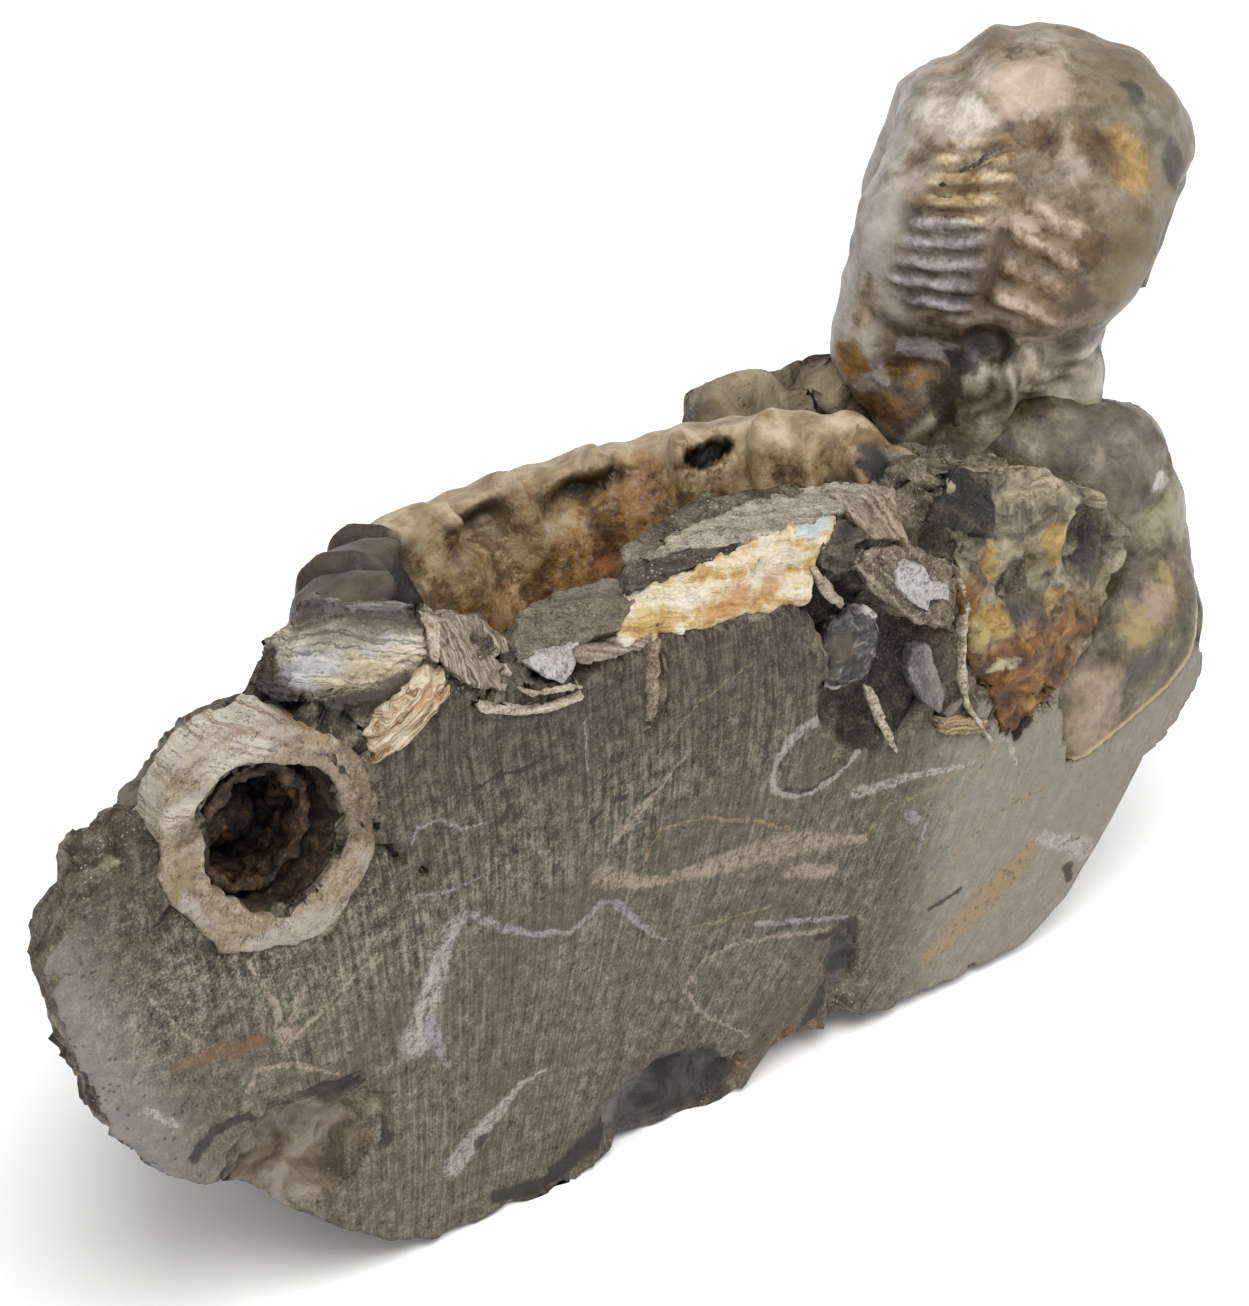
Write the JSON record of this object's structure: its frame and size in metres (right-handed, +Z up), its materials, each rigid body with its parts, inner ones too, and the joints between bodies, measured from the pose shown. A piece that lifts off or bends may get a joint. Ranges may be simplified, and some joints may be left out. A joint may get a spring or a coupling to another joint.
{
  "type": "ammonite fossil",
  "caption": "Ammonite cluster in its rock matrix: a sawn block of siltstone with a large coiled shell lying in its top, a ribbed one standing at one end and smaller shells between them.",
  "frame": {"origin": "middle of the bounding box in plan, on the surface that the block lies on", "axes": "+Z up; -Y is the outward normal of the flat sawn face; X runs along that face, +X towards the end with the standing ammonite"},
  "size_m": [0.171, 0.055, 0.0968],
  "materials": {
    "matrix": "ground and sawn in front, rough elsewhere",
    "brown_shell": "translucent fossil shell, satin",
    "ribbed_shell": "satin fossil shell",
    "flank_shell": "mottled nacre",
    "cream_calcite": "chalky",
    "crystals": "drusy crystals",
    "amber_calcite": "glassy calcite",
    "nacre": "iridescent nacre",
    "grey_shell": "smooth",
    "white_shell": "chalky",
    "spine": "matte"
  },
  "bodies": {
    "root": {"matrix_block": "matrix", "lying_ammonite": "brown_shell", "standing_ammonite": "ribbed_shell", "flank_ammonite": "flank_shell", "hollow_shell": "cream_calcite", "crystal_crust": "crystals", "calcite_chunk": "amber_calcite", "nacre_plate": "nacre", "lens_shell": "grey_shell", "ribbed_shell": "white_shell", "small_coiled_shell": "grey_shell", "pale_shell_chip": "white_shell", "white_shell_chip": "white_shell", "spine": "spine"}
  },
  "joints": []
}
